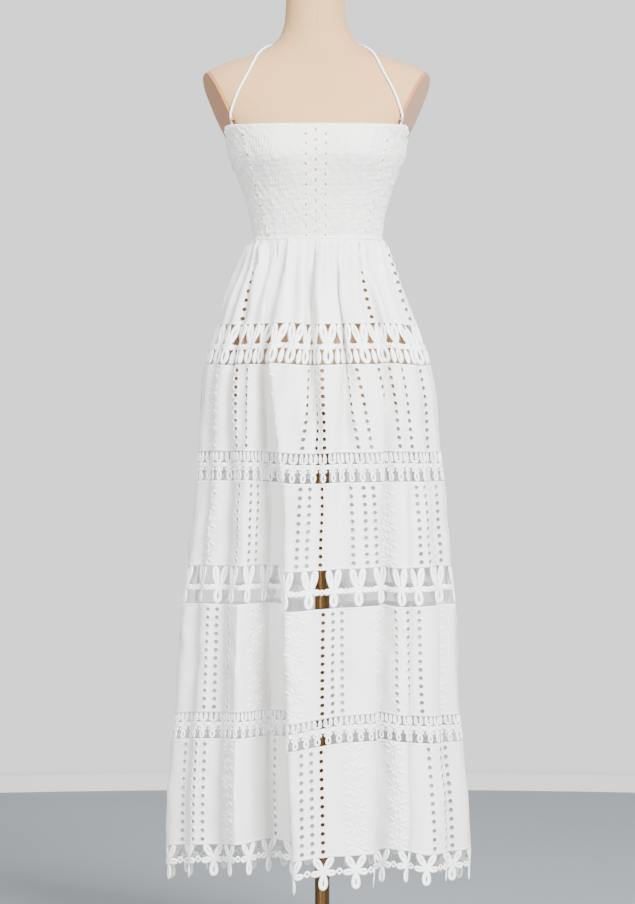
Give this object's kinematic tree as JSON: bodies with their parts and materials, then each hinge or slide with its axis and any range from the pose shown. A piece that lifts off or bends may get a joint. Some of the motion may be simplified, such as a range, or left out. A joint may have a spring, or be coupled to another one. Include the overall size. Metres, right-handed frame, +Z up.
{
  "type": "maxi dress on a dress form",
  "caption": "Halter maxi dress with a shirred bodice and a long skirt of eyelet tiers joined by flower lace, on a limbless dress form with a pole and a round base.",
  "frame": {"origin": "middle of the stand base's underside, on the pole's axis", "axes": "+Z up along the pole, -Y the way the dress faces, +X to the right as seen from the front"},
  "size_m": [0.5185, 0.4609, 1.6429],
  "materials": {
    "cotton": "matt white cotton voile with eyelets",
    "lace": "matt white corded flower lace",
    "jersey": "matt beige cover of the form",
    "brass": "polished"
  },
  "bodies": {
    "root": {"bodice_front": "cotton", "tier1_front": "cotton", "tier2_front": "cotton", "tier3_front": "cotton", "tier4_front": "cotton", "tier5_front": "cotton", "bodice_back": "cotton", "tier1_back": "cotton", "tier2_back": "cotton", "tier3_back": "cotton", "tier4_back": "cotton", "tier5_back": "cotton", "strap_left": "cotton", "strap_right": "cotton", "lace1_front": "lace", "lace1_back": "lace", "lace2_front": "lace", "lace2_back": "lace", "lace3_front": "lace", "lace3_back": "lace", "lace4_front": "lace", "lace4_back": "lace", "hem_lace_front": "lace", "hem_lace_back": "lace", "form_torso": "jersey", "form_neck_cap": "jersey", "form_arm_plate_left": "jersey", "form_arm_plate_right": "jersey", "stand_flange": "brass", "stand_pole": "brass", "stand_base": "brass"}
  },
  "joints": []
}
